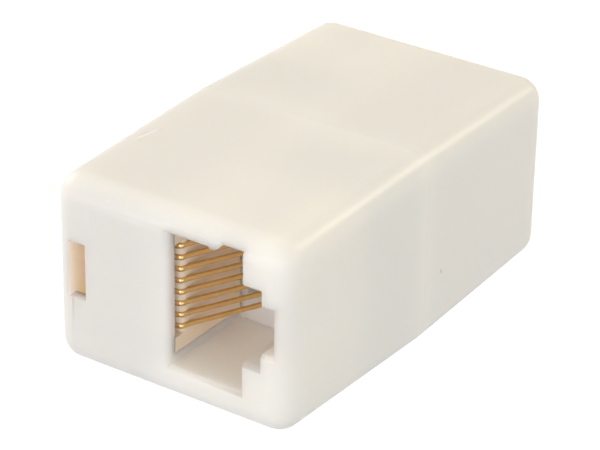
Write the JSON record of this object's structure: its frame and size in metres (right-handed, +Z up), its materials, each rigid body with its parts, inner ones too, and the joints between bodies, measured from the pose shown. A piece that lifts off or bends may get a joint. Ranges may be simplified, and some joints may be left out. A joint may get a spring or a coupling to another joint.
{
  "type": "modular jack inline coupler",
  "caption": "Inline coupler for eight-way modular plugs: two snap-fit ivory half shells with diagonally opposite ports and spring wires that join them straight through.",
  "frame": {"origin": "centre of the bottom of the bounding box, under the seam at mid-length", "axes": "+Z up, Y along the coupler with the front port opening towards -Y, X across the end walls with the front port on the +X side"},
  "size_m": [0.023, 0.0384, 0.0174],
  "materials": {
    "housing": "moulded ivory plastic, fine satin gloss, slightly translucent at thin walls",
    "carrier": "moulded off-white plastic, plain",
    "contacts": "thin gold plating over drawn spring wire, bright at the bends"
  },
  "bodies": {
    "root": {"front_housing": "housing", "rear_housing": "housing", "contact_carrier": "carrier", "contact_wire_1": "contacts", "contact_wire_2": "contacts", "contact_wire_3": "contacts", "contact_wire_4": "contacts", "contact_wire_5": "contacts", "contact_wire_6": "contacts", "contact_wire_7": "contacts", "contact_wire_8": "contacts"}
  },
  "joints": []
}
